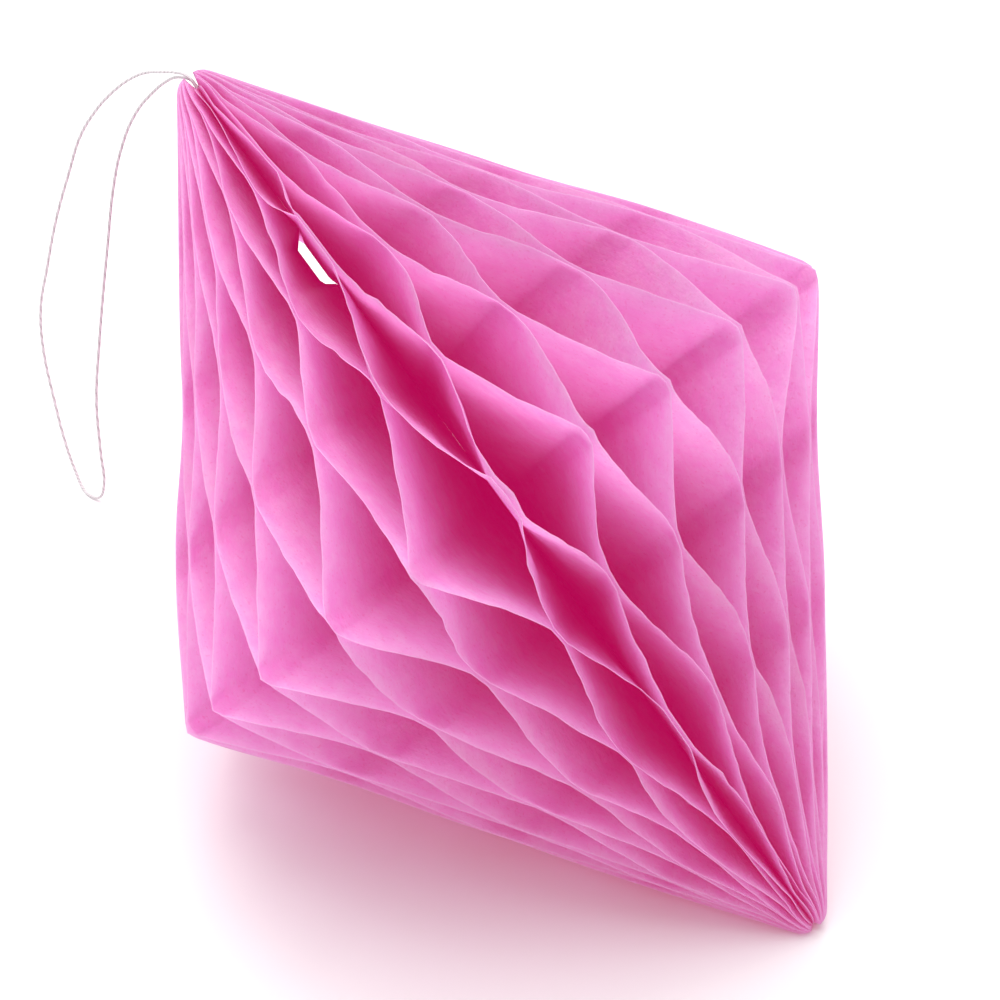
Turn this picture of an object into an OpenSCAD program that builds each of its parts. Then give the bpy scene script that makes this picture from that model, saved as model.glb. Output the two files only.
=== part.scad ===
// Honeycomb paper diamond: tissue sheets glued in staggered rows and fanned round a spine,
// lying on one face of its lower cone as it comes to rest, with a thread loop at the raised tip.
// The fan is built about its own axis, with the top tip up and the closing seam on +X,
// and is then rolled and tilted so that its lowest face lies on the ground at z = 0.

/* [Diamond] */
// Length of the diamond from tip to tip
diamond_h = 250; // [200:5:400]
// Width across the equator
diamond_w = 186; // [120:2:300]
// Width of each blunt tip
tip_w = 7; // [6:0.2:12]
// Height of the rounding at the outer corner of each tip
tip_round = 1.2; // [0.4:0.1:1.6]

/* [Honeycomb] */
// Number of tissue sheets in the fan
sheet_count = 48; // [32:4:48]
// Number of glue rows from the equator to each tip, an even number
glue_rows = 4; // [4:2:6]
// Thickness of a drawn sheet
sheet_t = 0.3; // [0.15:0.05:0.35]
// Width of a glue strip, measured along the spine
glue_w = 5; // [2:0.5:6]
// Distance over which a sheet bends away from a glue row, also half the closing seam's strips
bend_l = 6; // [4:0.5:7]
// Thickness of the spine where the sheets meet
spine_d = 2.4; // [1.8:0.1:3]
// How much of the bend of a sheet is soft: 0 is a straight panel, 1 is a full S
bend_softness = 0.35; // [0:0.05:1]

/* [Lying on the ground] */
// Depth by which the lowest paper edges are pressed flat under the diamond's own weight
press_depth = 2; // [0.5:0.1:3]

/* [Parted tips] */
// Depth of the notch that parts the top tip into two lobes
top_notch_depth = 3.8; // [1:0.1:4]
// Depth of the notch that parts the bottom tip
bottom_notch_depth = 1.2; // [0:0.1:4]
// Width of the notches at their mouth
notch_mouth_w = 2.6; // [2:0.1:3]
// Width of the notches at their flat floor
notch_floor_w = 1; // [0.9:0.1:1.3]
// Angle by which the unglued seam stands open to each side at the tips
seam_open_angle = 12; // [2:1:20]
// Length of the open part of the seam at each tip
seam_open_l = 10; // [7:1:15]

/* [Gap beside the spine] */
// Length of the see-through gap along the spine
gap_l = 14; // [5:0.5:20]
// Width of the gap
gap_w = 1.8; // [0.8:0.1:3]
// Distance of the gap's middle line from the axis
gap_offset = 2.6; // [2:0.1:4]

/* [Thread] */
// Diameter of the hanging thread
thread_d = 0.8; // [0.5:0.1:0.9]

/* [Hidden] */

tissue_pink = [0.96, 0.42, 0.75];
thread_white = [0.9, 0.88, 0.86];

// Sizes that follow from the driving ones
half_h = diamond_h / 2;
equator_r = diamond_w / 2;
tip_r = tip_w / 2;
spine_r = spine_d / 2;
row_pitch = half_h / glue_rows;
column_step = 360 / sheet_count;
strip_half = glue_w / 2;
tip_strip = max(strip_half, tip_round + 0.4);

// The gap starts at the upper edge of a glue row, and its ends close over a short length
gap_row = 2;
gap_from = gap_row * row_pitch + strip_half;
gap_to = gap_from + min(gap_l, row_pitch - 2 * glue_w);
gap_end = min(2.5, (gap_to - gap_from) / 4);

// The diamond rests on a face between a column glued at the equator and the next one
rest_column = round(0.585 * sheet_count / 2) * 2;
rest_angle = (rest_column + 0.5) * column_step;
rest_tilt = atan((equator_r - tip_r) / half_h * cos(column_step / 2));

// Heights along the axis at which every sheet has a row of points
plain_bends = [-bend_l, -strip_half, strip_half, bend_l];
equator_bends = [-bend_l, -strip_half, 0, strip_half, bend_l];
gap_bends = [-bend_l, -strip_half];
gap_heights = [gap_from, gap_from + gap_end, gap_to - gap_end, gap_to];
tip_heights = [half_h - bend_l, half_h - tip_strip, half_h - tip_round, half_h];
rows = concat(
    [for (i = [3 : -1 : 0]) -tip_heights[i]],
    [
        for (j = [1 - glue_rows : gap_row - 1], bend = j == 0 ? equator_bends : plain_bends)
            j * row_pitch + bend
    ],
    [for (bend = gap_bends) gap_row * row_pitch + bend],
    gap_heights,
    [for (j = [gap_row + 1 : glue_rows - 1], bend = plain_bends) j * row_pitch + bend],
    tip_heights
);
last = len(rows) - 1;
function in_gap(i) = rows[i] > gap_from + 0.01 && rows[i] < gap_to - 0.01;
gap_rows = [for (i = [0 : last]) if (in_gap(i)) i];

// Radius of the outline at a height: a sharp corner at the equator, straight to the blunt tips
function straight_r(z) = tip_r + (equator_r - tip_r) * (half_h - abs(z)) / half_h;
function outline_r(z) = abs(z) < half_h ? straight_r(z) : tip_r - tip_round;

// Heights between which sheet k is held at glue row j: the seam has wide strips of its own,
// and the one above the gap's row is as long as the gap
function half_strip(j) = abs(j) == glue_rows ? tip_strip : strip_half;
function at_seam(k, j) = (k == 0 || k == sheet_count - 1) && j % 2 == 0 && abs(j) < glue_rows;
function glue_from(k, j) =
    !at_seam(k, j) ? j * row_pitch - half_strip(j) : j == gap_row ? gap_from : j * row_pitch - bend_l;
function glue_to(k, j) =
    !at_seam(k, j) ? j * row_pitch + half_strip(j) : j == gap_row ? gap_to : j * row_pitch + bend_l;

// Where sheet k is between its two columns: 0 on column k and 1 on column k + 1
function side(k, j) = abs(k - j) % 2;
function soft(u) = (1 - bend_softness) * u + bend_softness * u * u * (3 - 2 * u);
function part_way(z, from, to) = max(0, min(1, (z - from) / (to - from)));
function between(k, z, j) =
    side(k, j) + (side(k, j + 1) - side(k, j)) * soft(part_way(z, glue_to(k, j), glue_from(k, j + 1)));
function row_below(z) = min(glue_rows - 1, floor(z / row_pitch));
function lean(k, z) =
    let (j = row_below(z))
    z < glue_from(k, j) && j > -glue_rows ? between(k, z, j - 1) : between(k, z, j);

// Angles of the columns, which draw back from the open seam at the tips, and of the two faces
// of sheet k, so that glued sheets lie face to face
function opening(z) = seam_open_angle * part_way(abs(z), half_h - seam_open_l, half_h);
function column_angle(c, z) = opening(z) + c * (column_step - 2 * opening(z) / sheet_count);
function sheet_turn(z) = min(sheet_t / outline_r(z) * 180 / PI, 0.6 * column_step);
function low_angle(k, z) = column_angle(k + lean(k, z), z) - lean(k, z) * sheet_turn(z);
function high_angle(k, z) = low_angle(k, z) + sheet_turn(z);

// Points of the spine and of the outline at angle a and height z, sunk into the notch where
// they are near a tip. All of an outer corner sinks by its place across the blunt tip.
function notch_share(y) = 1 - part_way(abs(y), notch_floor_w / 2, notch_mouth_w / 2);
function sink(y, z) =
    (z > 0 ? -top_notch_depth : bottom_notch_depth)
        * notch_share(y) * part_way(abs(z), half_h - bend_l, half_h);
function spine_point(a, z) = [spine_r * cos(a), spine_r * sin(a), z + sink(spine_r * sin(a), z)];
function outer_point(a, z) =
    [outline_r(z) * cos(a), outline_r(z) * sin(a), z + sink(tip_r * sin(a), z)];

// Height of a point of the fan over its own middle once it is tilted, and the ground's level:
// what would lie lower than the ground is pressed up to it
up_in_fan = [-cos(rest_tilt) * cos(rest_angle), -cos(rest_tilt) * sin(rest_angle), sin(rest_tilt)];
ground_reach = equator_r * cos(column_step / 2) * cos(rest_tilt);
ground_level = press_depth - ground_reach;
function tilted_z(p) = p * up_in_fan;
function pressed(p) = p + max(0, ground_level - tilted_z(p)) * up_in_fan;

// Ends of the sheets at the spine, parted by the gap: one bunch stays and the other draws aside
near_column = sheet_count - 1;
far_column = sheet_count / 2 + 1;
gap_x = spine_r * cos(column_step);
draw_aside = gap_offset + gap_w / 2 - spine_r * sin(column_step);
function beside_gap(side_x, side_y, z) = [side_x * gap_x, side_y * gap_w / 2 - gap_offset, z];
function root_point(i, c) =
    !in_gap(i) || c < far_column ? spine_point(c * column_step, rows[i])
    : c == far_column ? beside_gap(-1, 1, rows[i])
    : c == near_column ? beside_gap(1, 1, rows[i])
    : spine_point(c * column_step, rows[i]) - [0, draw_aside, 0];

// Points of one row: the root of every column, then the low and the high edge of every sheet
function row_points(i) = concat(
    [for (c = [0 : sheet_count - 1]) root_point(i, c)],
    [for (k = [0 : sheet_count - 1]) outer_point(low_angle(k, rows[i]), rows[i])],
    [for (k = [0 : sheet_count - 1]) outer_point(high_angle(k, rows[i]), rows[i])]
);
fan_points = concat(
    [for (i = [0 : last], p = row_points(i)) pressed(p)],
    [for (i = gap_rows, end = [-1, 1]) beside_gap(end, -1, rows[i])]
);

// Whether the sheets on both sides of column c are glued together at row i
function glued(i, c) =
    let (j = c == 0 ? 2 * round(rows[i] / row_pitch / 2) : round(rows[i] / row_pitch))
    abs(c - j) % 2 == 0 && (c > 0 || abs(j) < glue_rows)
        && rows[i] > glue_from(c, j) - 0.01 && rows[i] < glue_to(c, j) + 0.01;

// Numbers of the points: where two sheets are glued, they share the point between them
row_size = 3 * sheet_count;
function column_no(c) = (c + sheet_count) % sheet_count;
function root(i, c) = i * row_size + column_no(c);
function low(i, k) = i * row_size + sheet_count + column_no(k);
function high(i, k) =
    glued(i, column_no(k + 1)) ? low(i, k + 1) : i * row_size + 2 * sheet_count + column_no(k);
function aside(i, end) = len(rows) * row_size + 2 * (i - gap_rows[0]) + end;
function low_root(i, c) = in_gap(i) && c == far_column ? aside(i, 0) : root(i, c);
function high_root(i, c) = in_gap(i) && c == near_column ? aside(i, 1) : root(i, c);
function two(a, b, c, d) = [[a, c, b], [a, d, c]];

// Between two rows all walls are split along the same diagonal, so that the two walls of a sheet
// never cross: it rises to the root where a cell closes, and to the outer edge elsewhere
cell_closes = [
    for (i = [0 : last - 1])
        len([for (c = [0 : 2]) if (glued(i + 1, c) && !glued(i, c)) c]) > 0
];
function wall(i, a, b, c, d) = cell_closes[i] ? two(b, c, d, a) : two(a, b, c, d);

// Outer edge of each sheet, and the two walls of each cell
edge_faces = [
    for (i = [0 : last - 1], k = [0 : sheet_count - 1])
        each two(low(i, k), high(i, k), high(i + 1, k), low(i + 1, k))
];
wall_faces = [
    for (i = [0 : last - 1], c = [0 : sheet_count - 1])
        if (!(glued(i, c) && glued(i + 1, c)))
            each concat(
                wall(i, low_root(i, c), low(i, c), low(i + 1, c), low_root(i + 1, c)),
                wall(i, high_root(i, c), high_root(i + 1, c), high(i + 1, c - 1), high(i, c - 1))
            )
];

// The gap's own two walls, each from the near cell to the far cell
gap_faces = [
    for (i = [gap_rows[0] - 1 : gap_rows[1]])
        each concat(
            two(root(i, far_column), root(i, near_column), root(i + 1, near_column), root(i + 1, far_column)),
            two(
                high_root(i, near_column), low_root(i, far_column),
                low_root(i + 1, far_column), high_root(i + 1, near_column)
            )
        )
];

// Flat ends of the sheets at the tips, and the spine's end in strips across the notch
function sheet_end(i, k) = two(root(i, k), low(i, k), high(i, k), root(i, k + 1));
half_count = sheet_count / 2;
quarter_count = sheet_count / 4;
function strips(i, turn) = concat(
    [
        for (c = [0 : quarter_count - 2])
            each two(
                root(i, turn + c), root(i, turn + c + 1),
                root(i, turn + half_count - c - 1), root(i, turn + half_count - c)
            )
    ],
    [[
        root(i, turn + quarter_count - 1),
        root(i, turn + quarter_count + 1),
        root(i, turn + quarter_count)
    ]]
);
function spine_end(i) = concat(strips(i, 0), strips(i, half_count));
function flipped(faces) = [for (f = faces) [f[0], f[2], f[1]]];
top_faces = concat([for (k = [0 : sheet_count - 1]) each sheet_end(last, k)], spine_end(last));
bottom_faces = flipped(concat([for (k = [0 : sheet_count - 1]) each sheet_end(0, k)], spine_end(0)));

// Directions of the tilted fan's own axes from the ground, and the height of its middle
seam_way = [sin(rest_tilt) * -cos(rest_angle), sin(rest_angle), cos(rest_tilt) * -cos(rest_angle)];
axis_way = [-cos(rest_tilt), 0, sin(rest_tilt)];
lift = -ground_level;

// Route of the thread, measured from the floor of the raised notch in the ground's directions,
// for a tip as high as that of the default size: out of the notch, down to the ground, round
// and back up beside itself. Its two ends stand side by side in the plane of the seam.
thread_r = thread_d / 2;
seat = [0, 0, lift] + axis_way * (half_h - top_notch_depth);
seat_apart = 0.5;
seat_default_h = 144;
hanging_points = [
    [-3.9, -0.3, 2.3],
    [-6.6, -0.3, 1.7],
    [-12.9, -0.3, -1.1],
    [-17.3, -0.3, -3.3],
    [-23, -0.5, -7.6],
    [-30.5, -1.1, -15.6],
    [-36.3, -1.6, -23.5],
    [-41.6, -2.3, -33],
    [-46, -3.2, -45.8],
    [-51.4, -4.4, -63.2],
    [-55.3, -5.6, -80.2],
    [-58.2, -6.7, -95.2],
    [-57, -8, -107.6],
    [-52.4, -9.7, -120.6],
    [-47.2, -11.2, -133.1],
    [-43.6, -11.7, -140.1],
    [-40, -12.6, -143.3],
    [-36.4, -13.3, -143.6],
    [-33.4, -12.7, -142.7],
    [-32.1, -11.9, -138.7],
    [-33.8, -10.6, -127.5],
    [-36.1, -8.7, -113.1],
    [-35.6, -6.6, -94.2],
    [-33.9, -5.4, -77.1],
    [-31.9, -4.2, -60.1],
    [-29.8, -3, -43.1],
    [-26.7, -2, -29.4],
    [-21.7, -1.1, -17.1],
    [-16.2, -0.4, -8.9],
    [-11.9, 0.1, -3.9],
    [-8.6, 0.3, -1],
    [-5.6, 0.3, 0.5]
];
out_start = seat + seat_apart * seam_way;
out_end = seat - seat_apart * seam_way;
function to_ground(p) =
    let (q = seat + [p.x, p.y, p.z * seat.z / seat_default_h])
    [q.x, q.y, max(q.z, thread_r)];
thread_route = concat(
    [out_start, out_start + 1.3 * axis_way, out_start + 2.6 * axis_way],
    [for (p = hanging_points) to_ground(p)],
    [out_end + 2.6 * axis_way, out_end + 1.3 * axis_way, out_end]
);

// Smooth line through the route's points, with rings of eight points swept along it
ring_sides = 8;
route_last = len(thread_route) - 1;
function bend_point(a, b, c, d, t) =
    0.5 * (2 * b + (c - a) * t + (2 * a - 5 * b + 4 * c - d) * t * t + (3 * b - a - 3 * c + d) * t * t * t);
function on_route(n, t) =
    let (p = bend_point(
        thread_route[max(0, n - 1)],
        thread_route[n],
        thread_route[n + 1],
        thread_route[min(route_last, n + 2)],
        t
    ))
    [p.x, p.y, max(p.z, thread_r)];
function parts_of(n) = n < 2 || n > route_last - 3 ? 1 : 2;
ring_centres = concat(
    [for (n = [0 : route_last - 1], t = [0 : parts_of(n) - 1]) on_route(n, t / parts_of(n))],
    [thread_route[route_last]]
);
ring_last = len(ring_centres) - 1;
function unit(v) = v / norm(v);
function ring_way(i) =
    i == 0 ? axis_way : i == ring_last ? -axis_way : unit(ring_centres[i + 1] - ring_centres[i - 1]);
function ring_points(i) =
    let (across = unit(cross(ring_way(i), [0, 1, 0])), along = cross(ring_way(i), across))
    [
        for (s = [0 : ring_sides - 1])
            let (a = (s + 0.5) * 360 / ring_sides)
            ring_centres[i] + thread_r * (cos(a) * across + sin(a) * along)
    ];
thread_points = [for (i = [0 : ring_last]) each ring_points(i)];
function ring_no(i, s) = i * ring_sides + s % ring_sides;
thread_sides = [
    for (i = [0 : ring_last - 1], s = [0 : ring_sides - 1])
        each two(ring_no(i, s), ring_no(i, s + 1), ring_no(i + 1, s + 1), ring_no(i + 1, s))
];
thread_ends = [
    [for (s = [0 : ring_sides - 1]) ring_no(0, s)],
    [for (s = [ring_sides - 1 : -1 : 0]) ring_no(ring_last, s)]
];

module honeycomb() {
    color(tissue_pink)
        translate([0, 0, lift])
            rotate([0, rest_tilt - 90, 0])
                rotate([0, 0, 180 - rest_angle])
                    polyhedron(fan_points, concat(edge_faces, wall_faces, gap_faces, top_faces, bottom_faces));
}

module hanging_thread() {
    color(thread_white)
        polyhedron(thread_points, concat(thread_sides, thread_ends));
}

honeycomb();
hanging_thread();
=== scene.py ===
import math

import bpy
from mathutils import Matrix, Vector, noise


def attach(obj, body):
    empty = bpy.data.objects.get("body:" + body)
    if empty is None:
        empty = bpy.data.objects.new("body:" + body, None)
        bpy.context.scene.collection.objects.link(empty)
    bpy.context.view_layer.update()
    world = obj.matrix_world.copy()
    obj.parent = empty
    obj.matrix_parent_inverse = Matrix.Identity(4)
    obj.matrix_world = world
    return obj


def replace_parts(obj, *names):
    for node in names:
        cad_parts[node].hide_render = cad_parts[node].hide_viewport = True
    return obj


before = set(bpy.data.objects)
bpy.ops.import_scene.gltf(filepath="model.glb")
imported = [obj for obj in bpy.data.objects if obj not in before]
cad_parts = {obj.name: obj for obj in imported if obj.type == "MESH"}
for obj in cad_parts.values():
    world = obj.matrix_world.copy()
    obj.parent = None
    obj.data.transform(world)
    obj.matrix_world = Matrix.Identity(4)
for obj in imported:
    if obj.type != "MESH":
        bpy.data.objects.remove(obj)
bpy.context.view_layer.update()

# Sizes of the paper diamond, in millimetres: the same values as its drawing
HALF_H = 125
EQUATOR_R = 93
TIP_R = 3.5
SHEETS = 48
GLUE_ROWS = 4
PRESS_DEPTH = 2
TOP_NOTCH = 3.8
BOTTOM_NOTCH = 1.2
NOTCH_MOUTH_HALF = 1.3
NOTCH_FLOOR_HALF = 0.5
NOTCH_L = 6
SEAM_OPEN_ANGLE = 12
SEAM_OPEN_L = 10
GAP_ROW = 2
GAP_FROM = 65
GAP_TO = 79
REST_COLUMN = 28
STEP = 360 / SHEETS
PITCH = HALF_H / GLUE_ROWS

# Sizes of the paper and its glue strips, and how far the sheets at the see-through gap are drawn
PAPER_T = 0.1
SPINE_R = 0.9
GLUE_HALF = 2.2
SEAM_HALF = 5.5
TIP_ROUND = 2
TIP_ROUND_DEPTH = 1.6
GAP_DRAWN = 3.5
GAP_DRAWN_BESIDE = 1.35

# How uneven the paper is: slack, curls and creases
BELLY = 0.9
WAVE = 0.55
EDGE_WAVE = 0.5
CURL = 1.7
CREASE = 0.24
CORNER_FOLD = 1.5

# Points on a sheet: height between rows, and distances from the cut edge, close together where the edge
# carries its painted paler margin and is curled; no point lies under GROUND_Z, in metres
ROW_STEP = 1.7
EDGE_STEPS = [0, 0.35, 0.9, 1.8, 3.2, 5.2]
INNER_STEPS = 17
GROUND_Z = 0.0001

# Distance between two sheets on the paper's map, so that each has its own clouds and streaks
MAP_STEP = 300

# Thread loop: its length is in metres
THREAD_D = 0.8
STRANDS_APART = 1
STRAIGHT_STEP = 1.3
PLY_TURNS = 165

# How the diamond lies: its own axis runs up to the tip with the thread, the seam faces the camera
rest_tilt = math.atan((EQUATOR_R - TIP_R) / HALF_H * math.cos(math.radians(STEP / 2)))
rest_angle = math.radians((REST_COLUMN + 0.5) * STEP)
rest_roll = math.pi - rest_angle
reach = EQUATOR_R * math.cos(math.radians(STEP / 2)) * math.cos(rest_tilt)
middle = Vector((0, 0, reach - PRESS_DEPTH))
lie_down = (
    Matrix.Scale(0.001, 4)
    @ Matrix.Translation(middle)
    @ Matrix.Rotation(rest_tilt - math.pi / 2, 4, "Y")
    @ Matrix.Rotation(rest_roll, 4, "Z")
)


# Camera
def look_from(elevation, distance, turn_right, turn_up):
    """Camera's place over the diamond's axis, in degrees and millimetres, turned in its own picture."""
    down_axis = Vector((math.cos(rest_tilt), 0, -math.sin(rest_tilt)))
    up = Vector((math.sin(rest_tilt), 0, math.cos(rest_tilt)))
    away = Vector((0, 1, 0))
    e = math.radians(elevation)
    towards = math.cos(e) * up - math.sin(e) * away
    across = math.sin(e) * up + math.cos(e) * away
    right = turn_right * down_axis + turn_up * across
    upward = -turn_up * down_axis + turn_right * across
    place = (middle + distance * towards) / 1000
    turn = Matrix((right, upward, towards)).transposed().to_4x4()
    return Matrix.Translation(place) @ turn


bpy.ops.object.camera_add()
camera = bpy.context.object
camera.name = "camera"
camera.matrix_world = look_from(elevation=34.35, distance=740, turn_right=0.593, turn_up=0.805)
camera.data.lens = 112.6
camera.data.sensor_width = 36
camera.data.shift_x = -0.002
camera.data.shift_y = 0.0015
bpy.context.scene.camera = camera


# Materials
def new_material(name):
    material = bpy.data.materials.new(name)
    material.use_nodes = True
    material.node_tree.nodes.clear()
    return material, material.node_tree


def add_node(tree, kind, inputs=None, **settings):
    node = tree.nodes.new(kind)
    for key, value in settings.items():
        setattr(node, key, value)
    for key, value in (inputs or {}).items():
        node.inputs[key].default_value = value
    return node


def add_ramp(tree, stops):
    ramp = add_node(tree, "ShaderNodeValToRGB")
    while len(ramp.color_ramp.elements) < len(stops):
        ramp.color_ramp.elements.new(0.5)
    for element, (position, colour) in zip(ramp.color_ramp.elements, stops):
        element.position = position
        element.color = (*colour, 1)
    return ramp


def feed(tree, socket, value):
    """Link the socket to another node's output, or set it to a plain value."""
    if hasattr(value, "is_output"):
        tree.links.new(value, socket)
    else:
        socket.default_value = value


def mix_colours(tree, factor, first, second):
    mix = add_node(tree, "ShaderNodeMix", data_type="RGBA")
    feed(tree, mix.inputs[0], factor)
    feed(tree, mix.inputs[6], first)
    feed(tree, mix.inputs[7], second)
    return mix.outputs[2]


def do_math(tree, operation, *values):
    node = add_node(tree, "ShaderNodeMath", operation=operation)
    for socket, value in zip(node.inputs, values):
        feed(tree, socket, value)
    return node.outputs[0]


def mix_shaders(tree, factor, first, second):
    mix = add_node(tree, "ShaderNodeMixShader")
    feed(tree, mix.inputs[0], factor)
    tree.links.new(first.outputs[0], mix.inputs[1])
    tree.links.new(second.outputs[0], mix.inputs[2])
    return mix


def noise_at(tree, vector, scale, detail=2.0, roughness=0.5):
    node = add_node(tree, "ShaderNodeTexNoise", {"Scale": scale, "Detail": detail, "Roughness": roughness})
    tree.links.new(vector, node.inputs["Vector"])
    return node.outputs["Fac"]


# Share of the light on tissue that goes through it, and the pale fibres' share of the rest
THROUGH_SHARE = 0.79
BLOOM_SHARE = 0.9


def make_tissue():
    material, tree = new_material("pink_tissue")
    link = tree.links.new
    place = add_node(tree, "ShaderNodeTexCoord").outputs["Object"]
    on_paper = add_node(tree, "ShaderNodeUVMap", uv_map="paper_mm")
    split = add_node(tree, "ShaderNodeSeparateXYZ")
    link(on_paper.outputs[0], split.inputs[0])
    from_edge = split.outputs[0]

    # Clouds of thicker and thinner paper, and short fibres lying along the sheet
    clouds = noise_at(tree, place, 210, 3, 0.6)
    stretch = add_node(tree, "ShaderNodeMapping", {"Scale": (2.6, 0.35, 1)})
    link(on_paper.outputs[0], stretch.inputs["Vector"])
    fibres = noise_at(tree, stretch.outputs[0], 1.6, 2, 0.7)
    fibre_share = do_math(tree, "MULTIPLY", fibres, 0.4)
    cloudy = do_math(tree, "ADD", do_math(tree, "MULTIPLY", clouds, 0.6), fibre_share)

    # Colour of light that comes through the dyed paper, and of light that its fibres throw back
    dye = add_ramp(tree, [(0.38, (1, 0.59, 0.895)), (0.62, (1, 0.7, 0.955))])
    link(cloudy, dye.inputs["Fac"])
    bloom = add_ramp(tree, [(0.38, (0.98, 0.7, 1)), (0.62, (1, 0.98, 1))])
    link(cloudy, bloom.inputs["Fac"])
    # Colour of the paper's body, a deep pink under the pale bloom of its fibres
    pink = add_ramp(tree, [(0.38, (0.9, 0.18, 0.52)), (0.62, (1, 0.3, 0.7))])
    link(cloudy, pink.inputs["Fac"])

    # Long streaks where the tissue was pulled while it was made
    pulled = add_node(tree, "ShaderNodeMapping", {"Scale": (0.5, 0.055, 1)})
    link(on_paper.outputs[0], pulled.inputs["Vector"])
    streaks = add_ramp(tree, [(0.5, (0, 0, 0)), (0.7, (1, 1, 1))])
    link(noise_at(tree, pulled.outputs[0], 1.0, 2, 0.6), streaks.inputs["Fac"])
    streak_amount = do_math(tree, "MULTIPLY", streaks.outputs["Color"], 0.4)
    inside = mix_colours(tree, streak_amount, dye.outputs["Color"], (1, 0.54, 0.85, 1))

    # Sparse darker fibres that took more dye
    flecks = add_ramp(tree, [(0.7, (0, 0, 0)), (0.78, (1, 1, 1))])
    link(noise_at(tree, place, 1500, 0, 0.4), flecks.inputs["Fac"])
    fleck_amount = do_math(tree, "MULTIPLY", flecks.outputs["Color"], 0.5)
    inside = mix_colours(tree, fleck_amount, inside, (0.96, 0.47, 0.75, 1))
    outside = mix_colours(tree, fleck_amount, bloom.outputs["Color"], (0.88, 0.45, 0.75, 1))
    body = mix_colours(tree, streak_amount, pink.outputs["Color"], (0.86, 0.13, 0.45, 1))
    body = mix_colours(tree, fleck_amount, body, (0.72, 0.1, 0.38, 1))

    # Painted light: a paler margin beside the cut, where light comes through from behind, and a painted
    # bright line along the cut edge itself, frayed a little by the knife
    fray = noise_at(tree, place, 900, 1, 0.6)
    sway = do_math(tree, "MULTIPLY_ADD", noise_at(tree, place, 130, 0, 0.5), 3.2, from_edge)
    margin = add_node(tree, "ShaderNodeMapRange", {"From Min": 4.4, "From Max": 2.0, "To Max": 0.3})
    link(sway, margin.inputs["Value"])
    painted_edge_line = do_math(tree, "LESS_THAN", do_math(tree, "MULTIPLY_ADD", fray, 0.7, from_edge), 0.66)
    painted_edge_light = do_math(tree, "MAXIMUM", margin.outputs[0], do_math(tree, "MULTIPLY", painted_edge_line, 0.7))
    inside = mix_colours(tree, painted_edge_light, inside, (1, 0.86, 1, 1))
    outside = mix_colours(tree, painted_edge_light, outside, (1, 0.92, 1, 1))
    body = mix_colours(tree, painted_edge_light, body, (1, 0.62, 0.88, 1))

    # Fine crinkles, soft cockles between the glue lines, and the fibres again as relief
    crinkle = noise_at(tree, place, 420, 2, 0.55)
    cockle = noise_at(tree, place, 95, 0, 0.5)
    relief = do_math(tree, "MULTIPLY_ADD", crinkle, 0.5, cockle)
    relief = do_math(tree, "MULTIPLY_ADD", fibres, 0.1, relief)
    bump = add_node(tree, "ShaderNodeBump", {"Strength": 0.8, "Distance": 0.0014})
    link(relief, bump.inputs["Height"])

    sheet = add_node(tree, "ShaderNodeBsdfPrincipled", {"Roughness": 0.62, "Specular IOR Level": 0.25})
    fibre_bloom = add_node(tree, "ShaderNodeBsdfDiffuse")
    through = add_node(tree, "ShaderNodeBsdfTranslucent")
    for shader, colour in ((sheet, body), (fibre_bloom, outside), (through, inside)):
        link(colour, shader.inputs[0])
        link(bump.outputs[0], shader.inputs["Normal"])
    surface = mix_shaders(tree, BLOOM_SHARE, sheet, fibre_bloom)
    seen = mix_shaders(tree, THROUGH_SHARE, surface, through)

    # Light that goes on from sheet to sheet meets the paper's mean colours, without its details. After
    # several sheets a painted glow, an emission of the mean light between them, stands for the rest of its
    # way
    mean_surface = add_node(tree, "ShaderNodeBsdfDiffuse", {"Color": (1, 0.8, 1, 1)})
    mean_through = add_node(tree, "ShaderNodeBsdfTranslucent", {"Color": (1, 0.65, 0.92, 1)})
    between = mix_shaders(tree, THROUGH_SHARE, mean_surface, mean_through)
    painted_deep_glow = add_node(tree, "ShaderNodeEmission", {"Color": (1, 0.06, 0.28, 1), "Strength": 0.47})
    ray = add_node(tree, "ShaderNodeLightPath")
    is_deep = do_math(tree, "GREATER_THAN", ray.outputs["Ray Depth"], 6.5)
    passed = mix_shaders(tree, is_deep, between, painted_deep_glow)
    paper = mix_shaders(tree, ray.outputs["Is Camera Ray"], passed, seen)
    out = add_node(tree, "ShaderNodeOutputMaterial")
    link(paper.outputs[0], out.inputs["Surface"])
    return material


def make_thread_white():
    material, tree = new_material("thread_white")
    link = tree.links.new
    around = add_node(tree, "ShaderNodeTexCoord")
    split = add_node(tree, "ShaderNodeSeparateXYZ")
    link(around.outputs["UV"], split.inputs[0])
    # Two plies twisted round each other: the wave climbs along the thread as it goes round
    turns = do_math(tree, "MULTIPLY", split.outputs[0], PLY_TURNS)
    turns = do_math(tree, "ADD", turns, do_math(tree, "MULTIPLY", split.outputs[1], 2))
    phase = do_math(tree, "MULTIPLY", turns, math.tau)
    ply = do_math(tree, "SINE", phase)
    fuzz = noise_at(tree, around.outputs["Object"], 2600, 3, 0.6)
    height = do_math(tree, "ADD", ply, do_math(tree, "MULTIPLY", fuzz, 0.8))
    bump = add_node(tree, "ShaderNodeBump", {"Strength": 0.5, "Distance": 0.0001})
    link(height, bump.inputs["Height"])
    # Painted shade: the thread's colour darkens where the ply wave dips, in the grooves between the plies
    ply_painted_shade = add_ramp(tree, [(0.1, (0.58, 0.52, 0.54)), (0.6, (0.84, 0.8, 0.82))])
    link(do_math(tree, "MULTIPLY_ADD", ply, 0.3, fuzz), ply_painted_shade.inputs["Fac"])
    surface = add_node(tree, "ShaderNodeBsdfPrincipled", {"Roughness": 0.85, "Specular IOR Level": 0.1})
    link(ply_painted_shade.outputs["Color"], surface.inputs["Base Color"])
    link(bump.outputs[0], surface.inputs["Normal"])
    out = add_node(tree, "ShaderNodeOutputMaterial")
    link(surface.outputs[0], out.inputs["Surface"])
    return material


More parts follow.
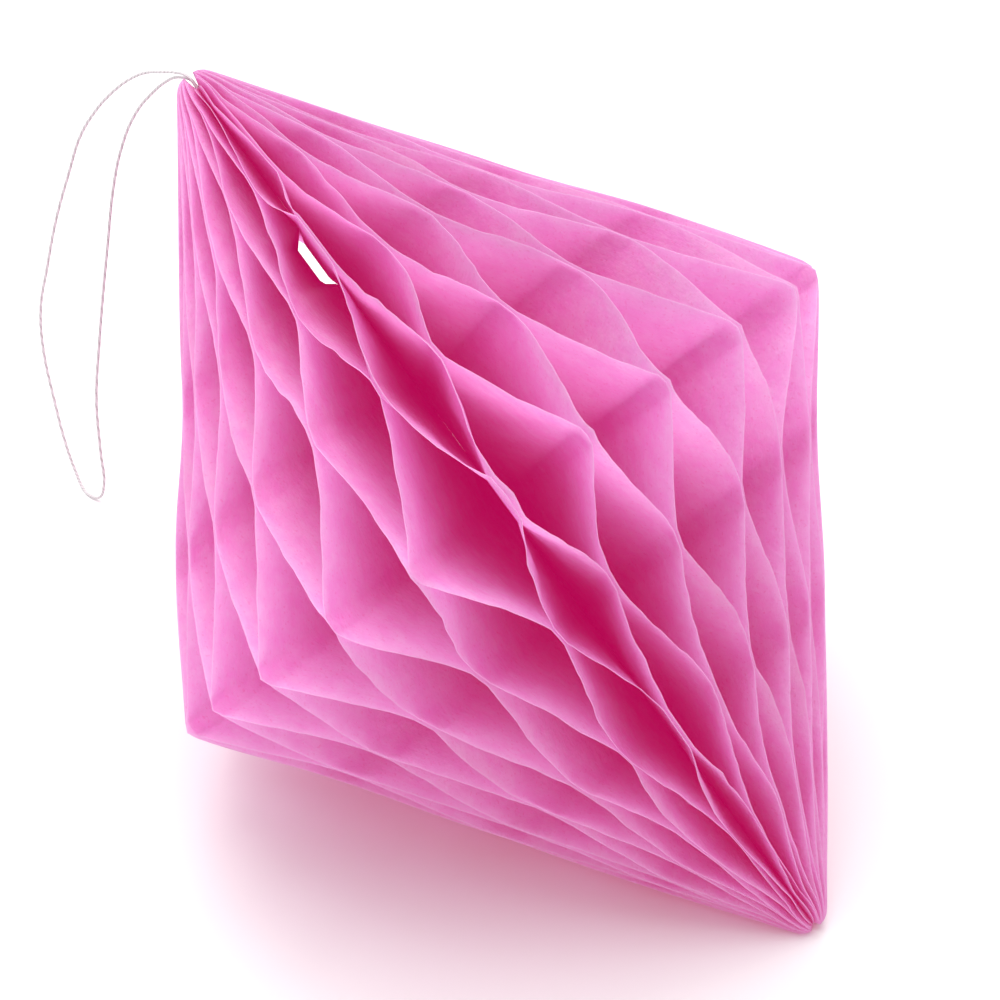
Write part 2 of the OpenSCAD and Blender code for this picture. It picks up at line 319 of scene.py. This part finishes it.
def make_ground():
    material, tree = new_material("white_ground")
    surface = add_node(
        tree, "ShaderNodeBsdfPrincipled", {"Base Color": (0.96, 0.96, 0.96, 1), "Roughness": 0.9}
    )
    # The camera sees it a little brighter than it lights the object, so that it is white
    seen = add_node(tree, "ShaderNodeBsdfDiffuse", {"Color": (1.03, 1.03, 1.03, 1)})
    ray = add_node(tree, "ShaderNodeLightPath")
    mix = mix_shaders(tree, ray.outputs["Is Camera Ray"], surface, seen)
    out = add_node(tree, "ShaderNodeOutputMaterial")
    tree.links.new(mix.outputs[0], out.inputs["Surface"])
    return material


tissue = make_tissue()
thread_white = make_thread_white()
white_ground = make_ground()

# Hanging thread: the route of the drawing, from the floor of the raised notch, in millimetres
axis_way = Vector((-math.cos(rest_tilt), 0, math.sin(rest_tilt)))
seam_way = Vector((
    -math.sin(rest_tilt) * math.cos(rest_angle),
    math.sin(rest_angle),
    -math.cos(rest_tilt) * math.cos(rest_angle),
))
seat = middle + axis_way * (HALF_H - TOP_NOTCH)
hanging_points = [
    (-3.9, -0.3, 2.3), (-6.6, -0.3, 1.7), (-12.9, -0.3, -1.1), (-17.3, -0.3, -3.3),
    (-23, -0.5, -7.6), (-30.5, -1.1, -15.6), (-36.3, -1.6, -23.5), (-41.6, -2.3, -33),
    (-46, -3.2, -45.8), (-51.4, -4.4, -63.2), (-55.3, -5.6, -80.2), (-58.2, -6.7, -95.2),
    (-57, -8, -107.6), (-52.4, -9.7, -120.6), (-47.2, -11.2, -133.1), (-43.6, -11.7, -140.1),
    (-40, -12.6, -143.3), (-36.4, -13.3, -143.6), (-33.4, -12.7, -142.7), (-32.1, -11.9, -138.7),
    (-33.8, -10.6, -127.5), (-36.1, -8.7, -113.1), (-35.6, -6.6, -94.2), (-33.9, -5.4, -77.1),
    (-31.9, -4.2, -60.1), (-29.8, -3, -43.1), (-26.7, -2, -29.4), (-21.7, -1.1, -17.1),
    (-16.2, -0.4, -8.9), (-11.9, 0.1, -3.9), (-8.6, 0.3, -1), (-5.6, 0.3, 0.5),
]
out_start = seat + STRANDS_APART / 2 * seam_way
out_end = seat - STRANDS_APART / 2 * seam_way
straight = [step * STRAIGHT_STEP * axis_way for step in range(3)]
route = [out_start + step for step in straight]
route += [seat + Vector(p) for p in hanging_points]
route += [out_end + step for step in reversed(straight)]


def make_thread(points, diameter):
    curve = bpy.data.curves.new("thread_loop", "CURVE")
    curve.dimensions = "3D"
    curve.bevel_depth = diameter / 2000
    curve.bevel_resolution = 3
    curve.resolution_u = 8
    curve.use_fill_caps = True
    line = curve.splines.new("BEZIER")
    line.bezier_points.add(len(points) - 1)
    for knot, p in zip(line.bezier_points, points):
        # The curve dips a little between its points, so they lie just over the ground
        knot.co = (p.x / 1000, p.y / 1000, max(p.z, diameter / 2 + 0.1) / 1000)
        knot.handle_left_type = knot.handle_right_type = "AUTO"
    thread = bpy.data.objects.new("thread_loop", curve)
    bpy.context.scene.collection.objects.link(thread)
    thread.data.materials.append(thread_white)
    return thread


thread = make_thread(route, THREAD_D)
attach(thread, "root")
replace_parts(thread, "hanging_thread")

# Where single glue nodes lie off the even pattern, by column from the seam and row from the
# equator: degrees round the axis and millimetres up it, as hands and glue left them
node_nudges = {
    (0, 0): (-0.5, 0), (2, 0): (-1.6, 0.6), (4, 0): (-3, -0.3), (-2, 0): (0, -1.6), (6, 0): (-2, 0),
    (1, -1): (-1.1, 3.4), (-1, -1): (0.9, 0.7), (-3, -1): (0, 3.2), (3, -1): (-1.8, 2),
    (-1, 1): (0.5, 4.4), (-3, 1): (1.7, 4.4), (1, 1): (-1.4, 3.1), (3, 1): (-1.5, 2),
    (0, -2): (1.4, -1.2),
}

# Nodes whose front edge is bent over to one side, in millimetres
node_lips = {(0, 0): 1.3, (-2, 0): -1.4, (2, 0): 0.8, (-1, 1): 0.9, (1, -1): 0.7, (-3, 1): -0.8}


# Paper sheets
def part_way(z, low, high):
    return max(0, min(1, (z - low) / (high - low)))


def smooth(u):
    return u * u * (3 - 2 * u)


def chance(*key):
    """A number from -1 to 1 that belongs to its key and stays the same."""
    return 1.6 * noise.noise(7.31 * Vector(key) + Vector((0.37, 0.71, 0.13)))


def at_seam(k, j):
    """Whether row j holds sheet k to its neighbour across the seam, by a wider glue strip."""
    return k in (0, SHEETS - 1) and j % 2 == 0 and abs(j) < GLUE_ROWS


def glue_from(k, j):
    if not at_seam(k, j):
        return j * PITCH - GLUE_HALF
    return GAP_FROM if j == GAP_ROW else j * PITCH - SEAM_HALF


def glue_to(k, j):
    if j == GAP_ROW and k in (SHEETS // 2 - 1, SHEETS // 2):
        return GAP_TO
    if not at_seam(k, j):
        return j * PITCH + GLUE_HALF
    return GAP_TO if j == GAP_ROW else j * PITCH + SEAM_HALF


def node_offset(k, j):
    """Offset of the node that holds sheet k at row j: degrees, millimetres up, and its edge's lip."""
    column = (k + abs(k - j) % 2 + SHEETS // 2) % SHEETS - SHEETS // 2
    if abs(j) >= GLUE_ROWS:
        return Vector((0, 0, 0))
    turn = 0 if column == 0 else 0.55 * chance(column, j, 1)
    rise = 0 if column == 0 else 1.1 * chance(column, j, 5) + (1.6 if abs(j) == 1 else 0)
    lip = node_lips.get((column, j), 0.7 * chance(column, j, 4))
    return Vector((*node_nudges.get((column, j), (turn, rise)), lip))


def sheet_state(k, z):
    """Lean of sheet k at height z, how free it is, its nodes' offset, its panel and its nearest node."""
    j = min(GLUE_ROWS - 1, math.floor(z / PITCH))
    if z < glue_from(k, j) and j > -GLUE_ROWS:
        j -= 1
    u = part_way(z, glue_to(k, j), glue_from(k, j + 1))
    start, end = abs(k - j) % 2, abs(k - j - 1) % 2
    lean = start + (end - start) * (0.88 * u + 0.12 * smooth(u))
    offset = node_offset(k, j).lerp(node_offset(k, j + 1), smooth(u))
    return lean, math.sin(math.pi * u), offset, j, j + round(u)


def outline_r(z, blunt=0):
    """Distance of the cut edge from the axis at height z; blunt rounds its corner at the equator."""
    from_equator = math.hypot(z, blunt)
    straight = TIP_R + (EQUATOR_R - TIP_R) * (HALF_H - from_equator) / HALF_H
    over = max(0, abs(z) - (HALF_H - TIP_ROUND)) / TIP_ROUND
    return straight - TIP_ROUND_DEPTH * (1 - math.sqrt(1 - over * over))


def sink(y, z):
    """How far the notches draw the middle of both tips in."""
    depth = -TOP_NOTCH if z > 0 else BOTTOM_NOTCH
    across = 1 - part_way(abs(y), NOTCH_FLOOR_HALF, NOTCH_MOUTH_HALF)
    return depth * across * part_way(abs(z), HALF_H - NOTCH_L, HALF_H)


def aside(k, z):
    """How far the spine's end of a sheet is drawn aside at the see-through gap."""
    opening = smooth(part_way(z, GAP_FROM - 1.5, GAP_FROM + 2))
    closing = smooth(part_way(-z, -GAP_TO - 1.5, 2 - GAP_TO))
    if SHEETS // 2 < k < SHEETS - 1:
        return GAP_DRAWN * (opening * closing)
    if k in (SHEETS // 2, SHEETS - 1):
        return GAP_DRAWN_BESIDE * (opening * closing)
    return 0


def above_ground(x, y, z):
    """The point drawn in towards the axis where it would lie below the ground."""
    low = (lie_down @ Vector((x, y, z))).z
    if low >= GROUND_Z:
        return x, y
    axis = (lie_down @ Vector((0, 0, z))).z
    share = (axis - GROUND_Z) / (axis - low)
    return x * share, y * share


def on_sheet(k, share, z):
    """A point of sheet k: share 0 is at the spine and 1 at the cut edge."""
    lean, free, (turn, rise, lip), j, node = sheet_state(k, z)
    outer = outline_r(z, 1.3 + 1.2 * chance(k, 0, 3))
    r = SPINE_R + (outer - SPINE_R) * share
    opening = SEAM_OPEN_ANGLE * part_way(abs(z), HALF_H - SEAM_OPEN_L, HALF_H)
    held = smooth(part_way(r, SPINE_R, 8))
    here = 0.5 + (lean - 0.5) * held
    a = math.radians(opening * held + (k + here) * (STEP - 2 * opening * held / SHEETS) + turn * share)
    # Slack of the free paper: a belly in the middle of each panel, and a wavy, curled cut edge
    slack = free * min(1, r / 40)
    from_edge = outer - r
    belly = BELLY * chance(k, j, 2) * math.sin(math.pi * share)
    wave = WAVE * noise.noise(Vector((z / 9, k * 3.7, from_edge / 18)))
    edge_wave = EDGE_WAVE * noise.noise(Vector((z / 4, k * 5.1, 8))) * math.exp(-from_edge / 3)
    curl = CURL * chance(k, j, 9) * math.exp(-from_edge / 2.1)
    # Fine creases that run in from the cut edge, and the folded corner at the equator
    crease = CREASE * noise.noise(Vector((z / 3.6 + r / 14, k * 2.9, r / 26)))
    corner = CORNER_FOLD * chance(k, 3, 7) * math.exp(-(z / 3.2) ** 2 - from_edge / 2.4)
    # At a node the unglued margins of the two sheets spread and bend over together
    margin = (1 - free) * min(1, r / 40) * math.exp(-from_edge / 1.5)
    spread = (0.5 - here) * (0.7 + 0.6 * chance(k, node, 6))
    side = (0.5 - here) * 1.15 * PAPER_T + margin * (lip + spread) + corner
    side += slack * (belly + wave + edge_wave + curl + crease)
    x = r * math.cos(a) - side * math.sin(a)
    y = r * math.sin(a) + side * math.cos(a)
    y -= aside(k, z) * (1 - share)
    high = z + rise * share + sink(y, z)
    x, y = above_ground(x, y, high)
    return Vector((x, y, high))


def sheet_rows():
    """Heights of the rows of points: a row at each end of each glue strip, even steps between."""
    fixed = {-HALF_H, HALF_H}
    for j in range(-GLUE_ROWS, GLUE_ROWS + 1):
        for bend in (-SEAM_HALF, -GLUE_HALF, 0, GLUE_HALF, SEAM_HALF):
            if abs(j * PITCH + bend) < HALF_H:
                fixed.add(j * PITCH + bend)
    fixed |= {GAP_FROM + 2.5, GAP_TO - 2.5, GAP_TO, HALF_H - 0.3, 0.3 - HALF_H, HALF_H - 1, 1 - HALF_H}
    fixed = sorted(fixed)
    rows = []
    for low, high in zip(fixed, fixed[1:]):
        count = max(1, round((high - low) / ROW_STEP))
        rows += [low + (high - low) * n / count for n in range(count)]
    return rows + [HALF_H]


rows = sheet_rows()


def share_of(column, z):
    """Share of the way from the spine to the cut edge, counted in columns from the edge."""
    width = outline_r(z) - SPINE_R
    squeeze = min(1, width / 30)
    if column < len(EDGE_STEPS):
        return 1 - EDGE_STEPS[column] * squeeze / width
    inner = 1 - EDGE_STEPS[-1] * squeeze / width
    return inner * (1 - (column - len(EDGE_STEPS) + 1) / INNER_STEPS)


def make_sheet(k):
    across = len(EDGE_STEPS) + INNER_STEPS
    bpy.ops.object.select_all(action="DESELECT")
    bpy.ops.mesh.primitive_grid_add(x_subdivisions=across - 1, y_subdivisions=len(rows) - 1, size=1)
    sheet = bpy.context.object
    sheet.name = sheet.data.name = f"paper_sheet_{k + 1:02d}"
    place_on_paper = {}
    for point in sheet.data.vertices:
        column = round((0.5 - point.co.x) * (across - 1))
        z = rows[round((point.co.y + 0.5) * (len(rows) - 1))]
        share = share_of(column, z)
        place_on_paper[point.index] = ((1 - share) * (outline_r(z) - SPINE_R), z + MAP_STEP * k)
        point.co = lie_down @ on_sheet(k, share, z)
    paper_mm = sheet.data.uv_layers.active
    paper_mm.name = "paper_mm"
    for corner in sheet.data.loops:
        paper_mm.data[corner.index].uv = place_on_paper[corner.vertex_index]
    solid = sheet.modifiers.new("thickness", "SOLIDIFY")
    solid.thickness = PAPER_T / 1000
    solid.offset = 0
    bpy.ops.object.modifier_apply(modifier="thickness")
    bpy.ops.object.shade_smooth_by_angle(angle=math.radians(50))
    sheet.data.materials.append(tissue)
    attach(sheet, "root")
    return sheet


for k in range(SHEETS):
    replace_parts(make_sheet(k), "honeycomb")

# Ground and light
bpy.ops.object.select_all(action="DESELECT")
bpy.ops.mesh.primitive_plane_add(size=6)
ground = bpy.context.object
ground.name = "ground"
ground.data.materials.append(white_ground)

world = bpy.data.worlds.new("white_room")
bpy.context.scene.world = world
world.use_nodes = True
sky = world.node_tree.nodes["Background"]
sky.inputs["Color"].default_value = (1, 1, 1, 1)
sky.inputs["Strength"].default_value = 0.7


def soft_lamp(name, place, power, size):
    bpy.ops.object.light_add(type="AREA", location=place)
    lamp = bpy.context.object
    lamp.name = name
    lamp.data.energy = power
    lamp.data.size = size
    lamp.rotation_euler = (Vector((0, 0, 0.07)) - lamp.location).to_track_quat("-Z", "Y").to_euler()


soft_lamp("top_lamp", (0, 0, 1.6), 9.1, 1.2)
soft_lamp("left_lamp", (-0.85, -0.1, 1.25), 4.6, 1.1)
soft_lamp("back_left_lamp", (-0.6, 0.5, 1.4), 8.2, 1.1)

bpy.context.scene.view_settings.view_transform = "Standard"
